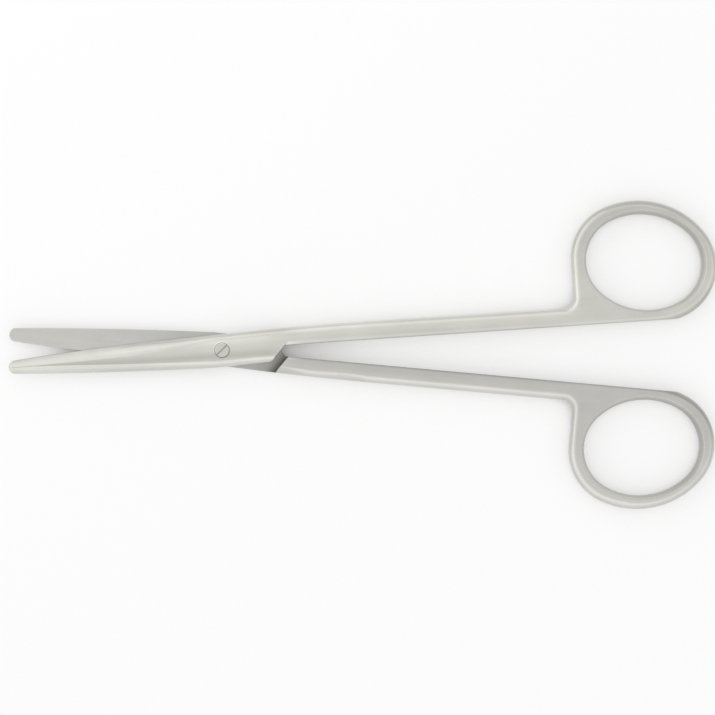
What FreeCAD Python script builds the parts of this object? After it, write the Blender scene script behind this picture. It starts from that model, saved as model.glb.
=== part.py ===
import FreeCAD, Part
import os
import re

import Sketcher
from FreeCAD import Placement, Rotation, Vector

# Straight dissecting scissors, lying flat and opened a little. Millimetres and degrees.
# The pivot stands on the origin, the blades point to -X and the finger rings to +X. Each half is
# drawn in its own frame, as if closed: the lap faces meet at height 0, the half's own shank and
# ring lie at +Y, and its blade has the cutting edge at +Y and the outer face up. The bottom half
# is the same forging turned over about the long axis.

SIZES = {
    # the pair
    "half_open": 4.5,           # each half turned from closed, as the pair lies
    "closed_gap": 0.3,          # between the shanks, and between the rings, when closed
    "lap_gap": 0.04,            # between the two lap faces
    # thickness of the forging
    "joint_thick": 4.2,         # both laps together
    "ring_thick": 3.4,
    "taper_start": 34.0,        # from the pivot to where the shank starts to thin
    "taper_end": 66.0,          # from the pivot to where it is as thin as the ring
    "edge_round": 1.4,          # on the outer edges of joint, shank and ring
    # joint
    "root": 2.0,                # from the pivot to the end of the blade
    "root_cut": 3.22,           # from the pivot out to the cutting side
    "root_spine": 3.5,          # from the pivot out to the spine side
    "lap_low": 3.17,            # from the pivot out to the lap's lower corner
    "lap_end": 12.9,            # from the pivot to where the lap's end meets the shank
    "lap_end_angle": 47.0,      # of the lap's slanting end, from the long axis
    "lap_corner": 2.0,          # radius of the lap's lower corner
    "lap_break": 0.2,           # chamfer along the lap's slanting end
    "shoulder": 13.4,           # from the pivot to the foot of the shoulder at the shank
    "shoulder_angle": 57.0,     # of the shoulder, from the long axis
    "shoulder_break": 0.25,     # chamfer along the shoulder's upper edge
    # shank
    "shank_out": 3.9,           # from the closing line to the shank's outer edge
    "shank_start": 30.0,        # from the pivot to where the shank's edge runs straight
    "waist_radius": 118.0,      # hollow curve from the joint into the shank
    "corner_radius": 2.0,       # in the corner between shank and ring
    # finger ring
    "ring_x": 87.05,            # from the pivot to the ring's centre
    "ring_y": 12.15,            # from the closing line to the ring's centre
    "rim_long": 29.9,           # across the ring's outside, along its long axis
    "rim_short": 24.9,
    "rim_tilt": -17.0,          # of that long axis
    "oval_end": 0.9,            # radius of an oval's ends, as a share of half its width
    "bow_long": 23.7,           # across the finger hole, along its long axis
    "bow_short": 19.5,
    "bow_tilt": -12.0,
    "bow_slope": 0.8,           # how far the slopes round the finger hole reach over the ring
    "bow_depth": 1.2,           # and how far down its wall
    # blade
    "blade_reach": 43.7,        # from the pivot to the tip
    "tip_cut": 1.3,             # half widths at the tip, before it is rounded
    "tip_spine": 1.27,
    "cut_swell": 0.35,          # bow of the cutting edge outside its chord
    "spine_swell": 0.23,
    "tip_lean": 0.68,           # the tips lie this far to one side of the closing line
    "tip_thick": 1.05,          # at the crest, at the tip
    "tip_radius": 1.45,          # of the blunt tip, seen from above
    "nose_radius": 0.7,         # of the blunt tip, seen from the side
    "cut_land": 0.3,            # thickness left at the cutting edge
    "spine_land": 0.4,          # thickness left at the spine, at the tip
    "nose_edge": 0.03,          # how far the nose's curve would pass clear of crest and tip
    "cut_bevel": 0.5,           # share of the tip's width that each bevel takes
    "spine_bevel": 0.44,
    "tip_bulge": 0.05,          # bow of a bevel, as a share of its width, at the tip
    # screw
    "head_radius": 1.5,
    "head_depth": 1.0,
    "head_edge": 0.08,          # chamfer round the head
    "slot_width": 0.32,
    "slot_depth": 0.5,
    "slot_angle": 45.0,
    "pivot_radius": 1.15,       # plain part of the screw, which the top half turns on
    "thread_radius": 0.9,       # threaded part, in the bottom half
    "running_gap": 0.05,        # round the head and the plain part, and under the head
    "thread_gap": 0.02,         # round the thread
}


def oval_sizes(name):
    """An oval of four tangent arcs, measured from its centre along and across its long axis."""
    long_half = name + "_long / 2"
    short_half = name + "_short / 2"
    end, off, side, back = [name + ending for ending in ("_end", "_off", "_side", "_back")]
    return {
        # radius of the end arcs, and how far along their middles lie
        end: "oval_end * " + short_half,
        off: "%s - %s" % (long_half, end),
        # radius of the side arcs, and how far across their middles lie
        side: "(%s^2 + (%s)^2 - %s^2) / (2 * (%s - %s))" % (off, short_half, end, short_half, end),
        back: "%s - %s" % (side, short_half),
        # where the arcs meet
        name + "_along": "%s * %s / (%s - %s)" % (off, side, side, end),
        name + "_across": "%s * %s / (%s - %s)" % (back, end, side, end),
    }


# Sizes that follow from the ones above.
WORKED_OUT = {
    **oval_sizes("rim"),
    **oval_sizes("bow"),
    "half_thick": "joint_thick / 2",
    "closing_line": "closed_gap / 2",
    "lap_face": "lap_gap / 2",
    # the rim's outermost points
    "rim_left": "ring_x - rim_off * cos(rim_tilt) - rim_end",
    "rim_left_y": "ring_y - rim_off * sin(rim_tilt)",
    "rim_low_x": "ring_x - rim_back * sin(rim_tilt)",
    "rim_low": "ring_y + rim_back * cos(rim_tilt) - rim_side",
    "rim_right": "2 * ring_x - rim_left",
    # two arcs that lead from the joint's edge to the shank's
    "waist_run": "shank_start + root",
    "waist_rise": "shank_out - root_cut",
    "waist_sum": "(waist_run^2 + waist_rise^2) / (2 * waist_rise)",
    "waist_share": "waist_radius / waist_sum",
    # the lap's lower corner, and a point of its end well inside the shank
    "lap_corner_x": "lap_end - (closing_line + lap_low) / tan(lap_end_angle)",
    "lap_inside": "edge_round",
    "lap_inside_x": "lap_end + (lap_inside - closing_line) / tan(lap_end_angle)",
    "blade_run": "blade_reach - root",
}

CLEAR = "10"            # well clear of the solid
SAME_PLACE = 0.001      # points this close count as one
SMALLEST_CUT = 0.001    # a cut that takes less has missed
QUARTER_ARC_BULGE = "(sqrt(2) - 1) / 2"
BLADE_STATIONS = (0.0, 0.12, 0.3, 0.55, 0.8, 1.0)


def make_sheet(doc):
    """The table of sizes that every sketch and feature is bound to."""
    sheet = doc.addObject("Spreadsheet::Sheet", "Sizes")
    rows = [(name, str(value)) for name, value in SIZES.items()]
    rows += [(name, "=" + formula) for name, formula in WORKED_OUT.items()]
    for row, (name, content) in enumerate(rows, start=1):
        sheet.set("A%d" % row, name)
        sheet.set("B%d" % row, content)
        sheet.setAlias("B%d" % row, name)
    doc.addObject("Spreadsheet::Sheet", "Slate")
    doc.recompute()


def number(doc, formula):
    """The value of a formula of named sizes, worked out on a sheet that nothing depends on."""
    doc.Slate.set("A1", "=" + bound(formula))
    doc.Slate.recompute()
    return float(doc.Slate.get("A1"))


def bound(formula):
    """The formula as an object outside the sheet has to write it."""
    def look_up(word):
        name = word.group(0)
        return "Sizes." + name if name in SIZES or name in WORKED_OUT else name
    return re.sub(r"[a-z_]+", look_up, formula)


def bind(feature, field, formula):
    feature.setExpression(field, bound(formula))


def origin_plane(body, role):
    for part in body.Origin.OriginFeatures:
        if part.Role == role:
            return part
    raise ValueError("no origin plane " + role)


class Outline:
    """A closed sketch on an origin plane. Formulas of the named sizes hold its corners."""

    def __init__(self, body, name, plane, height="0", turn="0"):
        self.doc = body.Document
        self.sketch = body.newObject("Sketcher::SketchObject", name)
        self.sketch.AttachmentSupport = [(origin_plane(body, plane), "")]
        self.sketch.MapMode = "FlatFace"
        rotation = Rotation(Vector(0, 0, 1), self.value(turn))
        self.sketch.AttachmentOffset = Placement(Vector(0, 0, self.value(height)), rotation)
        bind(self.sketch, "AttachmentOffset.Base.z", height)

    def value(self, formula):
        return number(self.doc, formula)

    def point(self, x, y):
        return Vector(self.value(x), self.value(y), 0)

    def measure(self, kind, formula, *places):
        """Adds a dimension that follows its formula."""
        value = self.value(formula)
        index = self.sketch.addConstraint(Sketcher.Constraint(kind, *places, value))
        self.sketch.setExpression("Constraints[%d]" % index, bound(formula))

    def hold(self, edge, end, x=None, y=None):
        """Holds one end of an edge at a place measured from the origin."""
        if x is not None:
            self.measure("DistanceX", x, -1, 1, edge, end)
        if y is not None:
            self.measure("DistanceY", y, -1, 1, edge, end)

    def start(self, x, y):
        self.begin = (x, y)
        self.here = self.begin
        self.first = None
        self.last = None

    def tie(self, one, other):
        self.sketch.addConstraint(Sketcher.Constraint("Coincident", *one, *other))

    def join(self, edge, tail, head, x, y):
        """Ties the new edge's tail to the edge before it, and holds its head."""
        if self.last is None:
            self.first = (edge, tail)
            self.hold(edge, tail, *self.here)
        else:
            self.tie(self.last, (edge, tail))
        if (x, y) == self.begin:
            self.tie((edge, head), self.first)
        else:
            self.hold(edge, head, x, y)
        self.last = (edge, head)
        self.here = (x, y)

    def line(self, x, y):
        edge = self.sketch.addGeometry(Part.LineSegment(self.point(*self.here), self.point(x, y)))
        self.join(edge, 1, 2, x, y)

    def arc(self, x, y, radius, left):
        """A round corner or long curve of a given radius, turning left or right."""
        tail = self.point(*self.here)
        head = self.point(x, y)
        size = self.value(radius)
        half = (head - tail) / 2
        side = Vector(-half.y, half.x, 0).normalize()
        rise = (size ** 2 - half.Length ** 2) ** 0.5
        centre = tail + half + side * (rise if left else -rise)
        middle = centre - side * (size if left else -size)
        edge = self.sketch.addGeometry(Part.Arc(tail, middle, head))
        self.join_arc(edge, tail, x, y)
        self.measure("Radius", radius, edge)

    def bulge(self, x, y, share):
        """A shallow arc that bows to the left of its chord by a share of its length."""
        here_x, here_y = self.here
        middle_x = "((%s) + (%s)) / 2 - (%s) * ((%s) - (%s))" % (here_x, x, share, y, here_y)
        middle_y = "((%s) + (%s)) / 2 + (%s) * ((%s) - (%s))" % (here_y, y, share, x, here_x)
        tail = self.point(*self.here)
        middle = self.point(middle_x, middle_y)
        edge = self.sketch.addGeometry(Part.Arc(tail, middle, self.point(x, y)))
        self.join_arc(edge, tail, x, y)
        crown = self.sketch.addGeometry(Part.Point(middle), True)
        self.hold(crown, 1, middle_x, middle_y)
        self.sketch.addConstraint(Sketcher.Constraint("PointOnObject", crown, 1, edge))

    def join_arc(self, edge, tail, x, y):
        """A sketch stores every arc turning left, so a right turn is tied the other way round."""
        stored_tail = self.sketch.getPoint(edge, 1)
        ends = (1, 2) if stored_tail.distanceToPoint(tail) < SAME_PLACE else (2, 1)
        self.join(edge, *ends, x, y)

    def close(self):
        """Ends the outline with a straight edge back to its start."""
        self.line(*self.begin)

    def polygon(self, *corners):
        self.start(*corners[0])
        for corner in corners[1:]:
            self.line(*corner)
        self.close()

    def circle(self, radius):
        """A round hole on the pivot."""
        circle = Part.Circle(Vector(0, 0, 0), Vector(0, 0, 1), self.value(radius))
        edge = self.sketch.addGeometry(circle)
        self.sketch.addConstraint(Sketcher.Constraint("Coincident", edge, 3, -1, 1))
        self.measure("Radius", radius, edge)


def on_ring(oval, along, across):
    """A place measured from the ring's centre along and across an oval's long axis."""
    x = "ring_x + (%s) * cos(%s_tilt) - (%s) * sin(%s_tilt)" % (along, oval, across, oval)
    y = "ring_y + (%s) * sin(%s_tilt) + (%s) * cos(%s_tilt)" % (along, oval, across, oval)
    return x, y


def grow(body, outline, name, length, both_sides=False):
    """Extrudes an outline along its plane's normal."""
    pad = body.newObject("PartDesign::Pad", name)
    pad.Profile = outline.sketch
    pad.SideType = "Symmetric" if both_sides else "One side"
    bind(pad, "Length", length)
    body.Document.recompute()
    return pad


def cut(body, outline, name, depth=None, along=None):
    """Cuts an outline through everything, or to a depth from its plane, and proves that it cut."""
    before = body.Shape.Volume
    pocket = body.newObject("PartDesign::Pocket", name)
    pocket.Profile = outline.sketch
    if depth is None:
        pocket.Type = "ThroughAll"
        pocket.SideType = "Symmetric"
    else:
        bind(pocket, "Length", depth)
    if along is not None:
        pocket.UseCustomVector = True
        pocket.Direction = along
    body.Document.recompute()
    if body.Shape.Volume > before - SMALLEST_CUT:
        raise ValueError(name + " cuts nothing")
    return pocket


def edges_of(feature, wanted):
    names = []
    for index, edge in enumerate(feature.Shape.Edges, start=1):
        if wanted(edge):
            names.append("Edge%d" % index)
    if not names:
        raise ValueError("no edges found on " + feature.Name)
    return names


def middle_of(edge):
    return edge.valueAt((edge.FirstParameter + edge.LastParameter) / 2)


def follows(edge, outline):
    """Whether an edge runs straight above or below an edge of an outline at height 0."""
    middle = middle_of(edge)
    shadow = Part.Vertex(middle.x, middle.y, 0)
    upright = max(edge.BoundBox.XLength, edge.BoundBox.YLength) < SAME_PLACE
    return not upright and shadow.distToShape(outline.sketch.Shape)[0] < SAME_PLACE


def work_edges(body, kind, name, wanted, field, size):
    base = body.Tip
    feature = body.newObject("PartDesign::" + kind, name)
    feature.Base = (base, edges_of(base, wanted))
    bind(feature, field, size)
    body.Document.recompute()
    return feature


def round_edges(body, name, wanted, radius):
    work_edges(body, "Fillet", name, wanted, "Radius", radius)


def chamfer_edges(body, name, wanted, size, depth=None):
    """An even chamfer, or one that goes to another depth down the second face."""
    feature = work_edges(body, "Chamfer", name, wanted, "Size", size)
    if depth is not None:
        feature.ChamferType = "Two distances"
        bind(feature, "Size2", depth)
        body.Document.recompute()


def forge_shank_and_ring(body):
    """The joint's outer strip, shank and ring, rounded all round like a forging."""
    blank = Outline(body, "BlankOutline", "XY_Plane")
    blank.start("-root", "root_cut")
    blank.arc("-root + waist_run * waist_share", "root_cut + waist_rise * waist_share",
              "waist_radius", left=True)
    blank.arc("shank_start", "shank_out", "waist_sum - waist_radius", left=False)
    blank.line("rim_left - corner_radius", "shank_out")
    blank.arc("rim_left", "shank_out + corner_radius", "corner_radius", left=True)
    blank.line("rim_left", "rim_left_y")
    blank.arc(*on_ring("rim", "-rim_along", "rim_across"), "rim_end", left=False)
    blank.arc(*on_ring("rim", "rim_along", "rim_across"), "rim_side", left=False)
    blank.arc(*on_ring("rim", "rim_along", "-rim_across"), "rim_end", left=False)
    blank.arc("rim_low_x", "rim_low", "rim_side", left=False)
    blank.line("-root", "rim_low")
    blank.close()
    grow(body, blank, "Blank", "joint_thick", both_sides=True)

    far = "rim_right + " + CLEAR
    for name, sign in (("Upper", ""), ("Lower", "-")):
        taper = Outline(body, name + "TaperOutline", "XZ_Plane")
        taper.polygon(("taper_start", sign + "half_thick"), ("taper_end", sign + "ring_thick / 2"),
                      (far, sign + "ring_thick / 2"), (far, sign + CLEAR),
                      ("taper_start", sign + CLEAR))
        cut(body, taper, name + "Taper")

    def on_rim(edge):
        across_the_blade = edge.BoundBox.XLength < SAME_PLACE
        return follows(edge, blank) and not across_the_blade

    round_edges(body, "ForgedEdges", on_rim, "edge_round")


def open_finger_ring(body):
    hole = Outline(body, "FingerHoleOutline", "XY_Plane")
    hole.start(*on_ring("bow", "bow_along", "-bow_across"))
    hole.arc(*on_ring("bow", "bow_along", "bow_across"), "bow_end", left=True)
    hole.arc(*on_ring("bow", "-bow_along", "bow_across"), "bow_side", left=True)
    hole.arc(*on_ring("bow", "-bow_along", "-bow_across"), "bow_end", left=True)
    hole.arc(*hole.begin, "bow_side", left=True)
    cut(body, hole, "FingerHole")

    def on_hole(edge):
        return follows(edge, hole)

    chamfer_edges(body, "FingerHoleEdges", on_hole, "bow_slope", depth="bow_depth")


def grind_inner_flank(body):
    """The side that faces the other half is ground flat along the closing line."""
    outline = Outline(body, "FlankOutline", "XY_Plane")
    near = "-root - " + CLEAR
    far = "rim_right + " + CLEAR
    outline.polygon((near, "closing_line"), (near, "-" + CLEAR), (far, "-" + CLEAR),
                    (far, "closing_line"))
    cut(body, outline, "InnerFlank")


def mill_half_lap(body, value):
    """Takes away the other half's share of the joint, up to the shoulder."""
    outline = Outline(body, "RecessOutline", "XY_Plane", height="lap_face")
    slope = " / tan(shoulder_angle)"
    outline.polygon(("-root - " + CLEAR, "-" + CLEAR),
                    ("shoulder + (closing_line + " + CLEAR + ")" + slope, "-" + CLEAR),
                    ("shoulder - (" + CLEAR + " - closing_line)" + slope, CLEAR),
                    ("-root - " + CLEAR, CLEAR))
    cut(body, outline, "Recess", depth="joint_thick")

    outline = Outline(body, "LapOutline", "XY_Plane", height="lap_face")
    outline.polygon(("-root", "lap_inside"), ("-root", "-root_spine"),
                    ("lap_corner_x", "-lap_low"), ("lap_inside_x", "lap_inside"))
    grow(body, outline, "Lap", "half_thick - lap_face")

    corner = Vector(value("lap_corner_x"), -value("lap_low"), 0)

    def on_corner(edge):
        middle = middle_of(edge)
        return Vector(middle.x, middle.y, 0).distanceToPoint(corner) < SAME_PLACE

    round_edges(body, "LapCorner", on_corner, "lap_corner")

    outline = Outline(body, "LowerEdgeOutline", "YZ_Plane", height="-root")
    outline.start("-root_spine", "half_thick - edge_round")
    outline.bulge("-root_spine + edge_round", "half_thick", QUARTER_ARC_BULGE)
    outline.line("-root_spine + edge_round", CLEAR)
    outline.line("-" + CLEAR, CLEAR)
    outline.line("-" + CLEAR, "half_thick - edge_round")
    outline.close()
    along = Vector(value("lap_corner_x + root"), value("root_spine - lap_low"), 0)
    cut(body, outline, "LowerEdge", depth="lap_end + root", along=along)

    wall = "-lap_low - lap_break * tan(lap_end_angle)"
    reach = "2 * lap_break / cos(lap_end_angle)"
    outline = Outline(body, "LapEndOutline", "YZ_Plane", height="lap_corner_x - lap_break")
    outline.polygon((wall, "half_thick - lap_break"),
                    ("%s + %s" % (wall, reach), "half_thick + lap_break"),
                    ("%s - %s" % (wall, reach), "half_thick + lap_break"),
                    ("%s - %s" % (wall, reach), "half_thick - lap_break"))
    along = Vector(value("cos(lap_end_angle)"), value("sin(lap_end_angle)"), 0)
    cut(body, outline, "LapEnd", depth="lap_end - lap_corner_x + lap_break", along=along)


def break_shoulder_edge(body, value):
    foot = Vector(value("shoulder"), value("closing_line"), 0)
    run = Vector(-value("cos(shoulder_angle)"), value("sin(shoulder_angle)"), 0)

    def on_shoulder(edge):
        middle = middle_of(edge)
        aside = (middle - foot).cross(run).z
        return middle.z < -value("half_thick") + SAME_PLACE and abs(aside) < SAME_PLACE

    chamfer_edges(body, "ShoulderEdge", on_shoulder, "shoulder_break")


def blade_section(body, name, u, lean):
    """The blade's section at a share u of its length: flat inside, two bevels and a crest outside."""
    ease = (1 - u) ** 3
    swell = 4 * u * (1 - u)
    shift = "%s * %.6f" % (lean, u)
    cutting = "root_cut + (tip_cut - root_cut) * %.6f + cut_swell * %.6f + %s" % (u, swell, shift)
    spine = "-(root_spine + (tip_spine - root_spine) * %.6f + spine_swell * %.6f) + %s" % (
        u, swell, shift)
    width = "((%s) - (%s))" % (cutting, spine)
    crest = "half_thick + (tip_thick - half_thick) * %.6f" % u
    front = "%s - edge_round * %.6f - %s * cut_bevel * %.6f" % (cutting, ease, width, 1 - ease)
    back = "%s + edge_round * %.6f + %s * spine_bevel * %.6f" % (spine, 1 - u ** 3, width, u ** 3)
    root_land = "(half_thick - edge_round)"
    cut_land = "cut_land + (%s - cut_land) * %.6f" % (root_land, ease)
    spine_land = "%s + (spine_land - %s) * %.6f" % (root_land, root_land, u)
    bow = "tip_bulge + (%s - tip_bulge) * %.6f" % (QUARTER_ARC_BULGE, ease)

    outline = Outline(body, name, "YZ_Plane", height="-root - blade_run * %.6f" % u)
    outline.start(spine, "lap_face")
    outline.line(spine, spine_land)
    outline.bulge(back, crest, bow)
    outline.line(front, crest)
    outline.bulge(cutting, cut_land, bow)
    outline.line(cutting, "lap_face")
    outline.close()
    return outline.sketch


def forge_blade(body, lean):
    """A loft from the joint to the tip, then the tip made blunt from above and from the side."""
    sections = []
    for index, u in enumerate(BLADE_STATIONS, start=1):
        sections.append(blade_section(body, "BladeSection%d" % index, u, lean))
    blade = body.newObject("PartDesign::AdditiveLoft", "Blade")
    blade.Profile = sections[0]
    blade.Sections = sections[1:]
    body.Document.recompute()

    middle = "(tip_cut - tip_spine) / 2 + " + lean
    inner = "-blade_reach + tip_radius"
    outline = Outline(body, "TipOutline", "XY_Plane")
    outline.start(inner, middle + " + tip_radius")
    outline.arc("-blade_reach", middle, "tip_radius", left=True)
    outline.arc(inner, middle + " - tip_radius", "tip_radius", left=True)
    outline.line(inner, middle + " - tip_radius - " + CLEAR)
    outline.line("-blade_reach - " + CLEAR, middle + " - tip_radius - " + CLEAR)
    outline.line("-blade_reach - " + CLEAR, middle + " + tip_radius + " + CLEAR)
    outline.line(inner, middle + " + tip_radius + " + CLEAR)
    outline.close()
    cut(body, outline, "Tip")

    top = "tip_thick + (half_thick - tip_thick) * nose_radius / blade_run + nose_edge"
    outline = Outline(body, "NoseOutline", "XZ_Plane")
    outline.start("-blade_reach - nose_edge", top + " - nose_radius")
    outline.bulge("-blade_reach + nose_radius", top, QUARTER_ARC_BULGE)
    outline.line("-blade_reach + nose_radius", CLEAR)
    outline.line("-blade_reach - " + CLEAR, CLEAR)
    outline.line("-blade_reach - " + CLEAR, top + " - nose_radius")
    outline.close()
    cut(body, outline, "Nose")


def bore(body, name, radius, depth=None):
    outline = Outline(body, name + "Outline", "XY_Plane", height="half_thick")
    outline.circle(radius)
    cut(body, outline, name, depth=depth)


def make_half(doc, label, lean):
    """One forging, without its screw hole. lean is where the tip lies off the closing line."""
    body = doc.addObject("PartDesign::Body", label)
    body.Label = label

    def value(formula):
        return number(doc, formula)

    forge_shank_and_ring(body)
    open_finger_ring(body)
    grind_inner_flank(body)
    mill_half_lap(body, value)
    break_shoulder_edge(body, value)
    forge_blade(body, lean)
    return body


def make_top_half(doc):
    body = make_half(doc, "top_half", "-tip_lean")
    bore(body, "PivotBore", "pivot_radius + running_gap")
    bore(body, "HeadSeat", "head_radius + running_gap", depth="head_depth + running_gap")
    place(body, Rotation(Vector(0, 0, 1), number(doc, "half_open")))
    return body


def make_bottom_half(doc):
    body = make_half(doc, "bottom_half", "tip_lean")
    bore(body, "ScrewHole", "thread_radius + thread_gap")
    turned_over = Rotation(Vector(1, 0, 0), 180)
    opened = Rotation(Vector(0, 0, 1), -number(doc, "half_open"))
    place(body, opened * turned_over)
    return body


def make_joint_screw(doc):
    """Slotted screw: head, plain part in the top half, threaded part in the bottom half."""
    body = doc.addObject("PartDesign::Body", "joint_screw")
    body.Label = "joint_screw"
    outline = Outline(body, "ScrewOutline", "XZ_Plane")
    outline.polygon(("0", "-half_thick"), ("thread_radius", "-half_thick"),
                    ("thread_radius", "-lap_face"), ("pivot_radius", "-lap_face"),
                    ("pivot_radius", "half_thick - head_depth"),
                    ("head_radius", "half_thick - head_depth"),
                    ("head_radius", "half_thick - head_edge"),
                    ("head_radius - head_edge", "half_thick"), ("0", "half_thick"))
    turned = body.newObject("PartDesign::Revolution", "Turned")
    turned.Profile = outline.sketch
    turned.ReferenceAxis = (outline.sketch, ["V_Axis"])
    turned.Angle = 360
    doc.recompute()

    outline = Outline(body, "SlotOutline", "XY_Plane", height="half_thick", turn="slot_angle")
    outline.polygon(("-head_radius * 2", "-slot_width / 2"), ("head_radius * 2", "-slot_width / 2"),
                    ("head_radius * 2", "slot_width / 2"), ("-head_radius * 2", "slot_width / 2"))
    cut(body, outline, "Slot", depth="slot_depth")
    place(body, Rotation())
    return body


def place(body, rotation):
    """Stands a piece on the pivot, with the underside of the joint at height 0."""
    body.Placement = Placement(Vector(0, 0, 0), rotation)
    bind(body, "Placement.Base.z", "half_thick")
    body.Document.recompute()


def check(doc, bodies):
    for item in doc.Objects:
        if "Invalid" in item.State or "Error" in item.State:
            raise ValueError("%s failed: %s" % (item.Name, item.State))
    for body in bodies:
        if body.Shape.isNull() or not body.Shape.isValid() or len(body.Shape.Solids) != 1:
            raise ValueError(body.Label + " is not one sound solid")


def main():
    doc = FreeCAD.newDocument("DissectingScissors")
    make_sheet(doc)
    bodies = [make_top_half(doc), make_bottom_half(doc), make_joint_screw(doc)]
    doc.removeObject("Slate")
    doc.recompute()
    check(doc, bodies)
    os.makedirs("parts", exist_ok=True)
    for body in bodies:
        body.Shape.exportStep(os.path.join("parts", body.Label + ".step"))
        print(body.Label, round(body.Shape.Volume, 1), body.Shape.BoundBox)


main()
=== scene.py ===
import math

import bpy
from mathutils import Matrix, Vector


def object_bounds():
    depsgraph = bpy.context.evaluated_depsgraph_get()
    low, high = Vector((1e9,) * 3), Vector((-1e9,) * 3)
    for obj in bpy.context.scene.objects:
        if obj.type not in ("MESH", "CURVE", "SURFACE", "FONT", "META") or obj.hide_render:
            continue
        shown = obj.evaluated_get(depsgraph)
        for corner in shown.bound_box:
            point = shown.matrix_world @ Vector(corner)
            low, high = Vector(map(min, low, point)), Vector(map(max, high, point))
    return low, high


# Dissecting scissors of satin stainless steel on a white table, seen from straight above.
# Metres, in the part's own frame: the pivot on the origin, blades to -X, finger rings to +X.
#
# A pair such as a SPAN, START, END, DEPTH or HEIGHT is where a tone sets in and where it is full.
# A SHADE is a factor on the steel's colour, mostly painted light and shade: one number, two at
# the ends of a span, or stops, each a place from 0 to 1 and the factor there.

MM = 0.001

# the photograph
IMAGE_WIDTH = 715
PIXEL = 0.2034 * MM                 # size of a pixel at the top of the joint
VIEW_MIDDLE = (27.6 * MM, -1.2 * MM)
VIEW_ROLL = math.radians(0.65)
CAMERA_HEIGHT = 420 * MM            # above the top of the joint
SENSOR_WIDTH = 36                   # mm, as Blender takes it

# how bright the tent is, from the horizon (0) to straight above (1)
TENT = ((0.0, 0.76), (0.5, 0.87), (0.75, 1.05), (0.91, 1.09), (0.965, 0.90), (1.0, 0.78))
TENT_LEAN = (-0.15, -0.18)          # how its brightness changes towards +X and towards +Y
TENT_OVAL = (0.5, 1, 1)             # makes the dark above the camera longer along X

# soft boxes: middle, width and height, and brightness
BESIDE_BLADES = ((-0.10, 0.16, 0.12), (0.29, 0.14), 0.32)
BEYOND_TIPS = ((-0.32, -0.03, 0.20), (0.20, 0.20), 0.15)

# the table: what it reflects, and what it adds for the eye and in reflections
TABLE_SIZE = 3.0
TABLE_DROP = 0.01 * MM              # keeps it clear of the faces that rest on it
TABLE_WHITE = 0.47
TABLE_GLOW = 0.51
# painted shadow: the table's glow is dimmed near things over it, most in the deepest nooks
NOOK_REACH = 5 * MM                 # how near a thing over the table dims its glow
NOOK_RAYS = 8
NOOK_SPAN = (0.15, 0.55)            # how open the table is, from the deepest nook to the open
NOOK_GLOW = (0.2, 1.0)              # what share of the glow is left there

# places in a half's own frame, the same for both: the long axis along its closing line,
# the outer edge of its shank towards +Y, the face that meets the other half at HALF_HEIGHT
HALF_OPEN = math.radians(4.5)       # how far each half is turned from the pair's long axis
HALF_HEIGHT = 2.1 * MM
FULL_HEIGHT = 2 * HALF_HEIGHT
SHOULDER = 13.5 * MM                # where the shoulder would cross the long axis
SHOULDER_ANGLE = math.radians(57)
HOLE_MIDDLE = (87.05 * MM, 12.15 * MM, 0)   # the finger hole's
SCREW_RADIUS = 1.5 * MM

# the steels: each its dark and its light tone
TOP_STEEL = ((0.665, 0.655, 0.605, 1), (0.725, 0.715, 0.665, 1))
BOTTOM_STEEL = ((0.565, 0.555, 0.52, 1), (0.62, 0.61, 0.58, 1))
SCREW_STEEL = ((0.62, 0.62, 0.55, 1), (0.72, 0.72, 0.65, 1))

# noises: the size of a blotch along each axis, how much detail it has and how rough that is
CLOUDS = ((8 * MM, 5 * MM, 5 * MM), 2, 0.5)
STREAKS = ((14 * MM, 0.5 * MM, 0.5 * MM), 3, 0.6)
GRAIN = ((2 * MM, 0.05 * MM, 0.05 * MM), 2, 0.6)
BLASTING = ((0.08 * MM, 0.08 * MM, 0.08 * MM), 2, 0.6)
SCRATCHES = ((4 * MM, 0.04 * MM, 4 * MM), 0, 0.5)
SCREW_BLASTING = ((0.08 * MM, 0.08 * MM, 0.08 * MM), 2, 0.5)

# the surface that they make
SCRATCH_TURN = 0.5                  # radians between the scratches and the half's long axis
SCRATCH_SPAN = (0.68, 0.74)         # the noise from no scratch to a deep one
STREAK_TONE = 0.25                  # what share of the streaks is added to the clouds
TONE_SPAN = (0.35, 0.9)             # the noise from the dark to the light tone
SCRATCH_GLOSS = 0.5                 # what share of the scratches is added to the streaks
GLOSS_SPAN = (0.3, 0.9)             # the noise from the smoothest to the roughest steel
ROUGHNESS = (0.27, 0.35)            # of those two
SCREW_ROUGHNESS = (0.24, 0.38)
LATHE_RING = 0.05 * MM              # width of a turned ring
LATHE_DETAIL = 2
LATHE_SPAN = (0.3, 0.7)             # its noise from the dark to the light tone
BUMP_DEPTH = 0.004 * MM
BUMP, SCREW_BUMP = 0.12, 0.2        # how strong the relief is
SOFT_EDGE = (0.22 * MM, 6)          # radius, and how many rays look for the edge
SCREW_SOFT_EDGE = (0.05 * MM, 4)

# the contact face, which is what lies near HALF_HEIGHT and ahead of the shoulder, on the side
# of the tip; its painted shade and that of the other faces there go from the shoulder's foot to
# the tip
CONTACT_DEPTH = (0.45 * MM, 0.15 * MM)
AHEAD_SPAN = (-0.1 * MM, 0)
BLADE_SPAN = (0, 50 * MM)
# painted shade: darkest in the recess at the shoulder's foot, lighter towards the tip
CONTACT_SHADE = ((0.0, 0.14), (0.02, 0.34), (0.045, 0.64), (0.10, 0.78), (0.35, 0.90),
                 (0.75, 1.06), (1.0, 1.09))
# painted shade: the blade's other faces darker towards the tip
BLADE_SHADE = ((0.0, 1.0), (0.35, 1.0), (0.8, 0.93), (1.0, 0.93))
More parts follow.
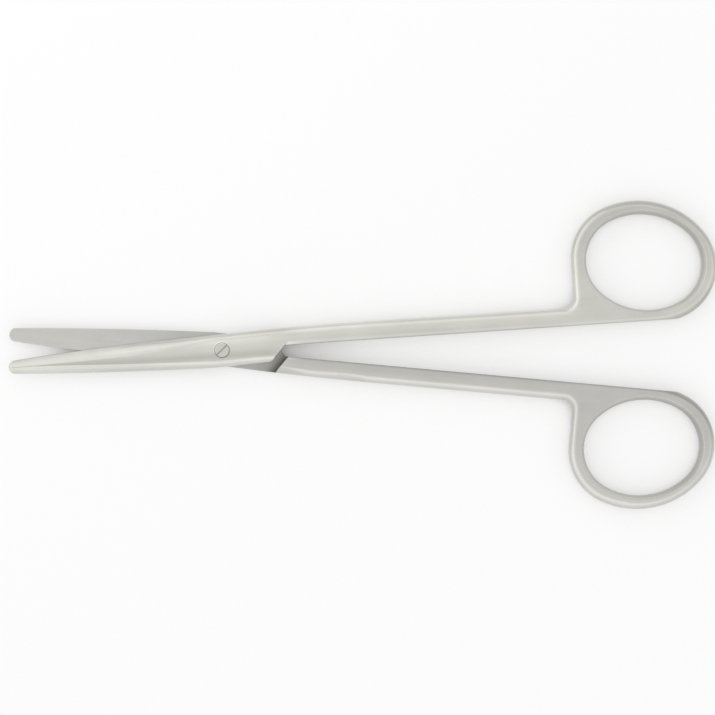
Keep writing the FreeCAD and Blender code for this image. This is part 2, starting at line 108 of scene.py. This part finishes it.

# the outer face of the blade and the joint: light and shade are painted across its flat faces,
# as if they were rounded, from the back to the cutting edge, with painted shade darkest along
# the crest and a painted highlight towards the cutting edge
PAINTED_CROWN_SPAN = (-2.5 * MM, 3 * MM)
PAINTED_CROWN_SHADE = ((0.0, 1.003), (0.09, 0.953), (0.2, 0.851), (0.27, 0.851), (0.36, 0.940),
               (0.45, 1.016), (0.56, 1.067), (0.64, 1.105), (0.74, 1.207), (0.93, 1.245),
               (1.0, 1.003))
PAINTED_CROWN_START = (15 * MM, 9 * MM)
FLAT_SPAN = (0.985, 0.998)          # how upright the normal of a flat face is
CUTTING_SHADE = 0.72                # painted shade on the bevel at the cutting edge

# the shank, with painted shade at its inner edge and painted light at its outer edge, and none
# where it joins the ring
SHANK_SPAN = (0.4 * MM, 3.3 * MM)
SHANK_SHADE = (0.95, 1.14)
SHANK_START = (13 * MM, 17 * MM)
SHANK_END = (74 * MM, 67 * MM)
INNER_SPAN = (-0.1, -0.35)          # the normal's Y on the edges along its inside
# painted shade on the edges along the inside of the shank
INNER_SHADE = 0.79

# slopes, which are neither flat nor steep, by how upright their normal is, with painted shade
SLOPE_SPANS = ((0.8, 0.65), (0.1, 0.3))
SLOPE_SHADE = 0.92

# the ring: its finger hole, from the middle of the wall (0) to the ring's face (1), and the side
# of the ring that is far from the other half
HOLE_SPAN = (13.5 * MM, 13 * MM)    # from the middle of the hole
HOLE_FACING = (0.2, 0.7)            # how squarely its wall faces the middle
# painted shade low on the finger hole's wall, a painted highlight just below the ring's face
HOLE_SHADE = ((0.0, 0.79), (0.52, 0.79), (0.60, 0.93), (0.78, 0.95), (0.86, 1.2), (1.0, 1.15))
FAR_SPAN = (7 * MM, 20 * MM)
# painted light and shade: the far side of the top ring darker, that of the bottom ring lighter
TOP_FAR_SHADE, BOTTOM_FAR_SHADE = 0.88, 1.12

# sharp edges, by the cosine between the softened normal and the true one
WORN_AND_HIGHLIT_SPAN = (0.995, 0.93)
EDGE_HIGHLIGHT = 0.08                   # painted highlight: how much brighter the colour is along a sharp edge
WORN_GLOSS = 0.05                   # how much smoother
CORNER_SPAN = (0.93, 0.8)
CORNER_DARK = 0.28                  # painted shade: how much darker the line along a square edge is
CORNER_START = (SCREW_RADIUS + 0.4 * MM, SCREW_RADIUS + 0.8 * MM)

# the screw and its seat
SCREW_LIT = (-0.7, 0.7, 0)          # towards the side with the painted highlight, on the rim and the seat
RIM_SPAN = (SCREW_RADIUS - 0.25 * MM, SCREW_RADIUS - 0.1 * MM)
RIM_LIGHT = 0.22                    # how much painted highlight on one side, and painted shade on the other
RIM_LIFT = 0.1                      # painted highlight: how much brighter the whole rim is
SEAT_SPAN = (SCREW_RADIUS + 0.35 * MM, SCREW_RADIUS + 0.2 * MM)
SEAT_HEIGHT = (FULL_HEIGHT - 0.2 * MM, FULL_HEIGHT - 0.1 * MM)
SLOT_DEPTH = (FULL_HEIGHT - 0.1 * MM, FULL_HEIGHT - 0.3 * MM)
# painted shade in the screw's slot
SLOT_SHADE = 0.72
SCREW_END = (0.5 * MM, 1 * MM)      # keeps the slot's tone off the screw's lower end


def node(tree, kind, inputs=None, **settings):
    """Adds a shader node, sets its settings, and fills or links its inputs."""
    made = tree.nodes.new(kind)
    for name, value in settings.items():
        setattr(made, name, value)
    for name, value in (inputs or {}).items():
        if isinstance(value, bpy.types.NodeSocket):
            tree.links.new(value, made.inputs[name])
        else:
            made.inputs[name].default_value = value
    return made


def calculate(tree, operation, *values):
    """Does a sum on numbers."""
    return node(tree, "ShaderNodeMath", dict(enumerate(values)), operation=operation).outputs[0]


def multiply(tree, first, *others):
    for other in others:
        first = calculate(tree, "MULTIPLY", first, other)
    return first


def calculate_vector(tree, operation, *values):
    """Does a sum on vectors, or on colours taken as vectors."""
    made = node(tree, "ShaderNodeVectorMath", dict(enumerate(values)), operation=operation)
    return made.outputs["Value" if operation in ("LENGTH", "DOT_PRODUCT") else "Vector"]


def scale(tree, vector, factor):
    inputs = {0: vector, "Scale": factor}
    return node(tree, "ShaderNodeVectorMath", inputs, operation="SCALE").outputs["Vector"]


def split(tree, vector):
    return node(tree, "ShaderNodeSeparateXYZ", {"Vector": vector}).outputs


def follow(tree, value, span, levels=(0, 1)):
    """Goes from one level to the other as a value goes through a span, and no further."""
    inputs = {"Value": value, "From Min": span[0], "From Max": span[1],
              "To Min": levels[0], "To Max": levels[1]}
    return node(tree, "ShaderNodeMapRange", inputs).outputs["Result"]


def fade(tree, share, level):
    """A factor that goes from 1 to a level as a share goes from 0 to 1."""
    return follow(tree, share, (0, 1), (1, level))


def grey(level):
    return level, level, level, 1


def ramp(tree, value, stops):
    """A level that follows a value from 0 to 1 through stops, each a place and its level."""
    made = node(tree, "ShaderNodeValToRGB", {"Fac": value})
    elements = made.color_ramp.elements
    while len(elements) < len(stops):
        elements.new(0.5)
    for element, (place, level) in zip(elements, stops):
        element.position = place
        element.color = grey(level)
    return made.outputs["Color"]


def mix(tree, share, first, second):
    """Mixes two colours by the share of the second."""
    inputs = {0: share, 6: first, 7: second}
    return node(tree, "ShaderNodeMix", inputs, data_type="RGBA").outputs[2]


def noise(tree, place, size, detail, rough):
    stretch = {"Vector": place, "Scale": tuple(1 / along for along in size)}
    inputs = {"Vector": node(tree, "ShaderNodeMapping", stretch).outputs["Vector"],
              "Scale": 1, "Detail": detail, "Roughness": rough}
    return node(tree, "ShaderNodeTexNoise", inputs).outputs["Fac"]


def soften(tree, radius, rays):
    """The normal, rounded over the edges."""
    return node(tree, "ShaderNodeBevel", {"Radius": radius}, samples=rays).outputs["Normal"]


def roughen(tree, normal, relief, strength):
    """The normal, with a fine relief on it."""
    inputs = {"Strength": strength, "Distance": BUMP_DEPTH, "Height": relief, "Normal": normal}
    return node(tree, "ShaderNodeBump", inputs).outputs["Normal"]


def new_material(name):
    material = bpy.data.materials.new(name)
    material.use_nodes = True
    material.node_tree.nodes.clear()
    return material, material.node_tree


def finish(tree, shader):
    output = node(tree, "ShaderNodeOutputMaterial")
    tree.links.new(shader, output.inputs["Surface"])


def finish_metal(tree, colour, roughness, normal):
    shader = node(tree, "ShaderNodeBsdfPrincipled", {
        "Base Color": colour, "Metallic": 1, "Roughness": roughness, "Normal": normal})
    finish(tree, shader.outputs["BSDF"])


def from_middle(tree, height):
    """How far a height is from where the halves meet."""
    return calculate(tree, "ABSOLUTE", calculate(tree, "SUBTRACT", height, HALF_HEIGHT))


def uprightness(tree, normal):
    return calculate(tree, "ABSOLUTE", split(tree, normal)["Z"])


def from_screw(tree, place):
    """How far a place is from the screw's axis."""
    return calculate_vector(tree, "LENGTH", calculate_vector(tree, "MULTIPLY", place, (1, 1, 0)))


def shade_faces(tree, place, normal):
    """Painted shade of the contact face, and painted light and shade across the flat outer face.
    """
    x, y, z = split(tree, place)
    flat = follow(tree, uprightness(tree, normal), FLAT_SPAN)
    foot = calculate(tree, "ADD", x, calculate(tree, "DIVIDE", y, math.tan(SHOULDER_ANGLE)))
    ahead = calculate(tree, "SUBTRACT", SHOULDER, foot)
    along = follow(tree, ahead, BLADE_SPAN)
    near = multiply(tree, follow(tree, from_middle(tree, z), CONTACT_DEPTH),
                    follow(tree, ahead, AHEAD_SPAN))

    # light and shade painted across the flat faces only, as if they were rounded
    painted_crown_place = multiply(tree, follow(tree, x, PAINTED_CROWN_START), flat)
    painted_crown = mix(tree, painted_crown_place, grey(1), ramp(tree, follow(tree, y, PAINTED_CROWN_SPAN), PAINTED_CROWN_SHADE))
    # painted shade: darker towards the tip
    outer = calculate_vector(tree, "MULTIPLY", painted_crown, ramp(tree, along, BLADE_SHADE))
    # painted shade on the bevel at the cutting edge
    outer = scale(tree, outer, fade(tree, near, CUTTING_SHADE))
    # painted shade on the contact face, darkest at the shoulder's foot
    return mix(tree, multiply(tree, near, flat), outer, ramp(tree, along, CONTACT_SHADE))


def wall_of_hole(tree, place, normal):
    """1 on the wall of the finger hole, 0 elsewhere."""
    inwards = calculate_vector(tree, "SUBTRACT", HOLE_MIDDLE, place)
    inwards = calculate_vector(tree, "MULTIPLY", inwards, (1, 1, 0))
    direction = calculate_vector(tree, "NORMALIZE", inwards)
    facing = calculate_vector(tree, "DOT_PRODUCT", direction, normal)
    away = calculate_vector(tree, "LENGTH", inwards)
    return multiply(tree, follow(tree, facing, HOLE_FACING), follow(tree, away, HOLE_SPAN))


def shade_handle(tree, place, normal, far_shade):
    """Painted light and shade of the slopes, finger hole, far side of the ring and the shank."""
    x, y, z = split(tree, place)
    upright = uprightness(tree, normal)
    behind = follow(tree, x, SHANK_START)

    # painted shade on the slopes
    slope = multiply(tree, *(follow(tree, upright, span) for span in SLOPE_SPANS))
    # painted shade on the edges along the inside of the shank
    inner = multiply(tree, behind, follow(tree, split(tree, normal)["Y"], INNER_SPAN))
    edges = multiply(tree, fade(tree, slope, SLOPE_SHADE), fade(tree, inner, INNER_SHADE))

    height = calculate(tree, "DIVIDE", from_middle(tree, z), HALF_HEIGHT)
    # painted shade and highlight on the finger hole's wall
    hole = mix(tree, wall_of_hole(tree, place, normal), edges, ramp(tree, height, HOLE_SHADE))
    # painted light or shade on the far side of the ring
    far = follow(tree, y, FAR_SPAN, (1, far_shade))

    # painted light and shade across the shank
    along = multiply(tree, behind, follow(tree, x, SHANK_END))
    shank = mix(tree, along, grey(1), follow(tree, y, SHANK_SPAN, SHANK_SHADE))
    return multiply(tree, hole, far, shank)


def light_on_rim(tree, place):
    """Painted highlight and shade on either side of the edges round the head of the screw."""
    towards = calculate_vector(tree, "DOT_PRODUCT", place, SCREW_LIT)
    return follow(tree, towards, (-SCREW_RADIUS, SCREW_RADIUS), (-RIM_LIGHT, RIM_LIGHT))


def light_on_seat(tree, place):
    """The same painted highlight and shade on the edge of the screw's seat, 0 elsewhere."""
    seat = multiply(tree, follow(tree, from_screw(tree, place), SEAT_SPAN),
                    follow(tree, split(tree, place)["Z"], SEAT_HEIGHT))
    return multiply(tree, seat, light_on_rim(tree, place))


def steel(name, side, tones, far_shade):
    """Satin steel, ground along the half. side is 1 for the top half and -1 for the bottom."""
    material, tree = new_material(name)
    space = node(tree, "ShaderNodeTexCoord").outputs
    place = space["Object"]
    turned = {"Rotation": (0, 0, -HALF_OPEN), "Scale": (1, side, 1)}
    own_place = node(tree, "ShaderNodeMapping", {"Vector": place, **turned}).outputs["Vector"]
    own_normal = node(tree, "ShaderNodeMapping", {"Vector": space["Normal"], **turned},
                      vector_type="VECTOR").outputs["Vector"]

    clouds = noise(tree, place, *CLOUDS)
    streaks = noise(tree, own_place, *STREAKS)
    grain = noise(tree, own_place, *GRAIN)
    blasting = noise(tree, place, *BLASTING)
    aslant = node(tree, "ShaderNodeMapping",
                  {"Vector": own_place, "Rotation": (0, 0, SCRATCH_TURN)}).outputs["Vector"]
    scratches = follow(tree, noise(tree, aslant, *SCRATCHES), SCRATCH_SPAN)

    soft = soften(tree, *SOFT_EDGE)
    relief = calculate(tree, "SUBTRACT", calculate(tree, "ADD", grain, blasting), scratches)
    true = node(tree, "ShaderNodeNewGeometry").outputs["Normal"]
    turn = calculate_vector(tree, "DOT_PRODUCT", soft, true)
    worn_and_highlit = follow(tree, turn, WORN_AND_HIGHLIT_SPAN)
    corner = multiply(tree, follow(tree, from_screw(tree, place), CORNER_START),
                      follow(tree, turn, CORNER_SPAN))

    tone = calculate(tree, "ADD", clouds, multiply(tree, streaks, STREAK_TONE))
    colour = mix(tree, follow(tree, tone, TONE_SPAN), *tones)
    colour = calculate_vector(tree, "MULTIPLY", colour, shade_faces(tree, own_place, own_normal))
    shade = shade_handle(tree, own_place, own_normal, far_shade)
    # painted highlight along sharp edges
    shade = calculate(tree, "ADD", shade, multiply(tree, worn_and_highlit, EDGE_HIGHLIGHT))
    # painted shade along square edges
    shade = calculate(tree, "SUBTRACT", shade, multiply(tree, corner, CORNER_DARK))
    # painted highlight and shade on the edge of the screw's seat
    shade = calculate(tree, "ADD", shade, light_on_seat(tree, place))

    gloss = calculate(tree, "ADD", streaks, multiply(tree, scratches, SCRATCH_GLOSS))
    roughness = calculate(tree, "SUBTRACT", follow(tree, gloss, GLOSS_SPAN, ROUGHNESS),
                          multiply(tree, worn_and_highlit, WORN_GLOSS))
    finish_metal(tree, scale(tree, colour, shade), roughness, roughen(tree, soft, relief, BUMP))
    return material


def turned_steel(name, tones):
    """The screw's steel, with the fine rings that a lathe leaves round its axis."""
    material, tree = new_material(name)
    place = node(tree, "ShaderNodeTexCoord").outputs["Object"]
    away = from_screw(tree, place)
    height = split(tree, place)["Z"]
    inputs = {"W": away, "Scale": 1 / LATHE_RING, "Detail": LATHE_DETAIL}
    rings = node(tree, "ShaderNodeTexNoise", inputs, noise_dimensions="1D").outputs["Fac"]

    # painted highlight and shade on the rim of the screw's head
    rim = multiply(tree, follow(tree, away, RIM_SPAN),
                   calculate(tree, "ADD", light_on_rim(tree, place), RIM_LIFT))
    # painted shade in the slot
    slot = multiply(tree, follow(tree, height, SLOT_DEPTH), follow(tree, height, SCREW_END))
    shade = calculate(tree, "ADD", rim, fade(tree, slot, SLOT_SHADE))
    colour = scale(tree, mix(tree, follow(tree, rings, LATHE_SPAN), *tones), shade)
    roughness = follow(tree, noise(tree, place, *SCREW_BLASTING), (0, 1), SCREW_ROUGHNESS)
    normal = roughen(tree, soften(tree, *SCREW_SOFT_EDGE), rings, SCREW_BUMP)
    finish_metal(tree, colour, roughness, normal)
    return material


def dress(name, material):
    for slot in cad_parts[name].material_slots:
        slot.material = material


def lay_table():
    bpy.ops.mesh.primitive_plane_add(size=TABLE_SIZE, location=(0, 0, -TABLE_DROP))
    table = bpy.context.object
    table.name = "table"
    material, tree = new_material("white_table")
    white = node(tree, "ShaderNodeBsdfDiffuse", {"Color": grey(TABLE_WHITE)}).outputs["BSDF"]
    ray = node(tree, "ShaderNodeLightPath").outputs
    seen = calculate(tree, "MAXIMUM", ray["Is Camera Ray"], ray["Is Glossy Ray"])
    # painted shadow: the glow is dimmed where the table is hemmed in by things over it
    open_air = node(tree, "ShaderNodeAmbientOcclusion", {"Distance": NOOK_REACH},
                    samples=NOOK_RAYS).outputs["AO"]
    strength = multiply(tree, follow(tree, open_air, NOOK_SPAN, NOOK_GLOW), TABLE_GLOW, seen)
    glow = node(tree, "ShaderNodeEmission", {"Strength": strength}).outputs["Emission"]
    finish(tree, node(tree, "ShaderNodeAddShader", {0: white, 1: glow}).outputs["Shader"])
    table.data.materials.append(material)


def light_tent():
    """A soft white tent, darker straight above, where the camera looks down through it."""
    world = bpy.data.worlds.new("tent")
    world.use_nodes = True
    tree = world.node_tree
    tree.nodes.clear()
    direction = node(tree, "ShaderNodeTexCoord").outputs["Generated"]
    oval = calculate_vector(tree, "MULTIPLY", direction, TENT_OVAL)
    height = split(tree, calculate_vector(tree, "NORMALIZE", oval))["Z"]
    lean = calculate_vector(tree, "DOT_PRODUCT", direction, (*TENT_LEAN, 0))
    sky = node(tree, "ShaderNodeBackground", {"Color": ramp(tree, height, TENT),
                                              "Strength": calculate(tree, "ADD", lean, 1)})
    output = node(tree, "ShaderNodeOutputWorld")
    tree.links.new(sky.outputs["Background"], output.inputs["Surface"])
    bpy.context.scene.world = world


def hang_soft_box(name, middle, size, brightness):
    """A soft box that faces the joint, as bright as a wall of that brightness."""
    data = bpy.data.lights.new(name, "AREA")
    data.shape = "RECTANGLE"
    data.size, data.size_y = size
    data.energy = brightness * math.pi * size[0] * size[1]
    box = bpy.data.objects.new(name, data)
    box.location = middle
    box.rotation_euler = (-Vector(middle)).to_track_quat("-Z", "Y").to_euler()
    box.visible_camera = False
    bpy.context.scene.collection.objects.link(box)


def place_camera(top):
    data = bpy.data.cameras.new("camera")
    data.sensor_width = SENSOR_WIDTH
    data.lens = SENSOR_WIDTH * CAMERA_HEIGHT / (IMAGE_WIDTH * PIXEL)
    camera = bpy.data.objects.new("camera", data)
    camera.location = (*VIEW_MIDDLE, top + CAMERA_HEIGHT)
    camera.rotation_euler = (0, 0, VIEW_ROLL)
    bpy.context.scene.collection.objects.link(camera)
    bpy.context.scene.camera = camera


def as_numbers(box):
    return [list(corner) for corner in box]


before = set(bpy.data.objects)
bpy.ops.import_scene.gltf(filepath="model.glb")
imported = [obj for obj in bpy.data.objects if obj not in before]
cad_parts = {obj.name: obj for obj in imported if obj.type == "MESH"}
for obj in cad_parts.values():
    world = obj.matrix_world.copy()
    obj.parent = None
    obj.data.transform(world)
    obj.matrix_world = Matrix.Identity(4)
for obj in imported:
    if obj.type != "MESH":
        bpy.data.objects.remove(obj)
cad_box = as_numbers(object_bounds())

place_camera(cad_box[1][2])
light_tent()
hang_soft_box("beside_blades", *BESIDE_BLADES)
hang_soft_box("beyond_tips", *BEYOND_TIPS)
lay_table()
dress("top_half", steel("satin_steel_top", 1, TOP_STEEL, TOP_FAR_SHADE))
dress("bottom_half", steel("satin_steel_bottom", -1, BOTTOM_STEEL, BOTTOM_FAR_SHADE))
dress("joint_screw", turned_steel("screw_steel", SCREW_STEEL))
bpy.context.scene.view_settings.view_transform = "Standard"
